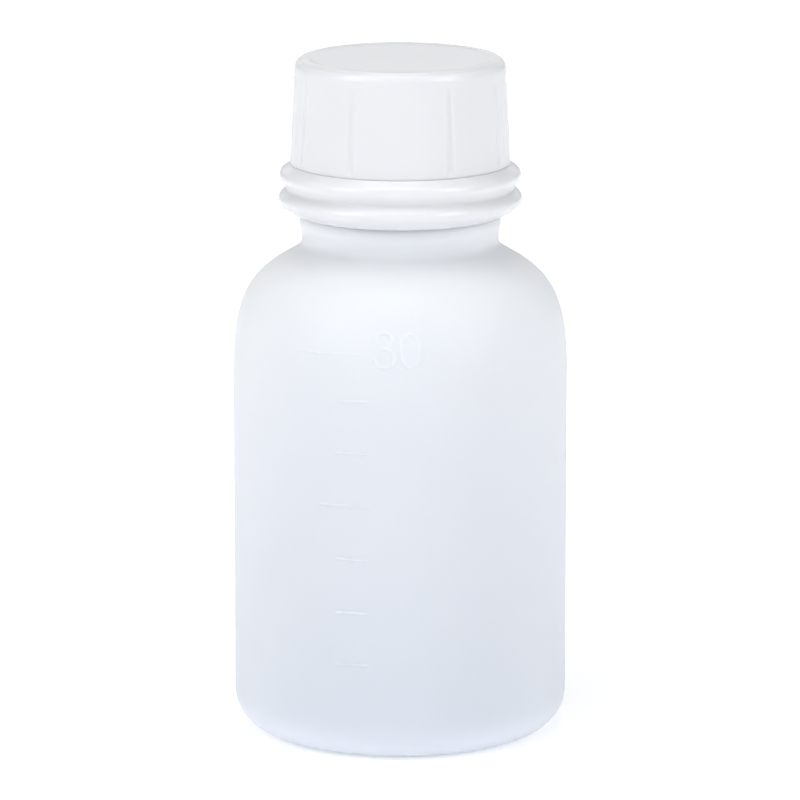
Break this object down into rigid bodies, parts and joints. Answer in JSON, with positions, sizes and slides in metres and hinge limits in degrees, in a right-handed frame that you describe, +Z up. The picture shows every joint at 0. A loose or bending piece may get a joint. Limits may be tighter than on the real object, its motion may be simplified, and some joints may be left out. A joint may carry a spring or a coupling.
{
  "type": "narrow-mouth bottle",
  "caption": "Small translucent narrow-mouth bottle with a round body, a raised scale, a grooved screw cap with a sealing insert and a double-beaded ring held on the neck.",
  "frame": {"origin": "centre of the foot on the surface that the bottle stands on", "axes": "+Z up along the bottle's axis, -Y towards the raised scale at the front, +X to the right seen from the front"},
  "size_m": [0.0334, 0.0334, 0.068],
  "materials": {
    "blown_wall": "translucent natural polyethylene, satin, blow-moulded",
    "closure_plastic": "translucent natural polyolefin, smooth, injection-moulded",
    "soft_insert": "soft natural polyethylene"
  },
  "bodies": {
    "bottle_body": {"bottle": "blown_wall", "tamper_ring": "closure_plastic"},
    "insert_body": {"seal_insert": "soft_insert"},
    "cap_body": {"screw_cap": "closure_plastic"}
  },
  "joints": [
    {"name": "cap_lift", "type": "slide", "parent": "bottle_body", "child": "insert_body", "axis": [0, 0, 1], "range_m": [0, 0.015]},
    {"name": "cap_turn", "type": "hinge", "parent": "insert_body", "child": "cap_body", "pos_m": [0, 0, 0.0625], "axis": [0, 0, 1], "range_deg": [0, 1800]}
  ],
  "couplings": [
    {"joint": "cap_lift", "follows": "cap_turn", "m_per_rad": 0.00047746}
  ]
}
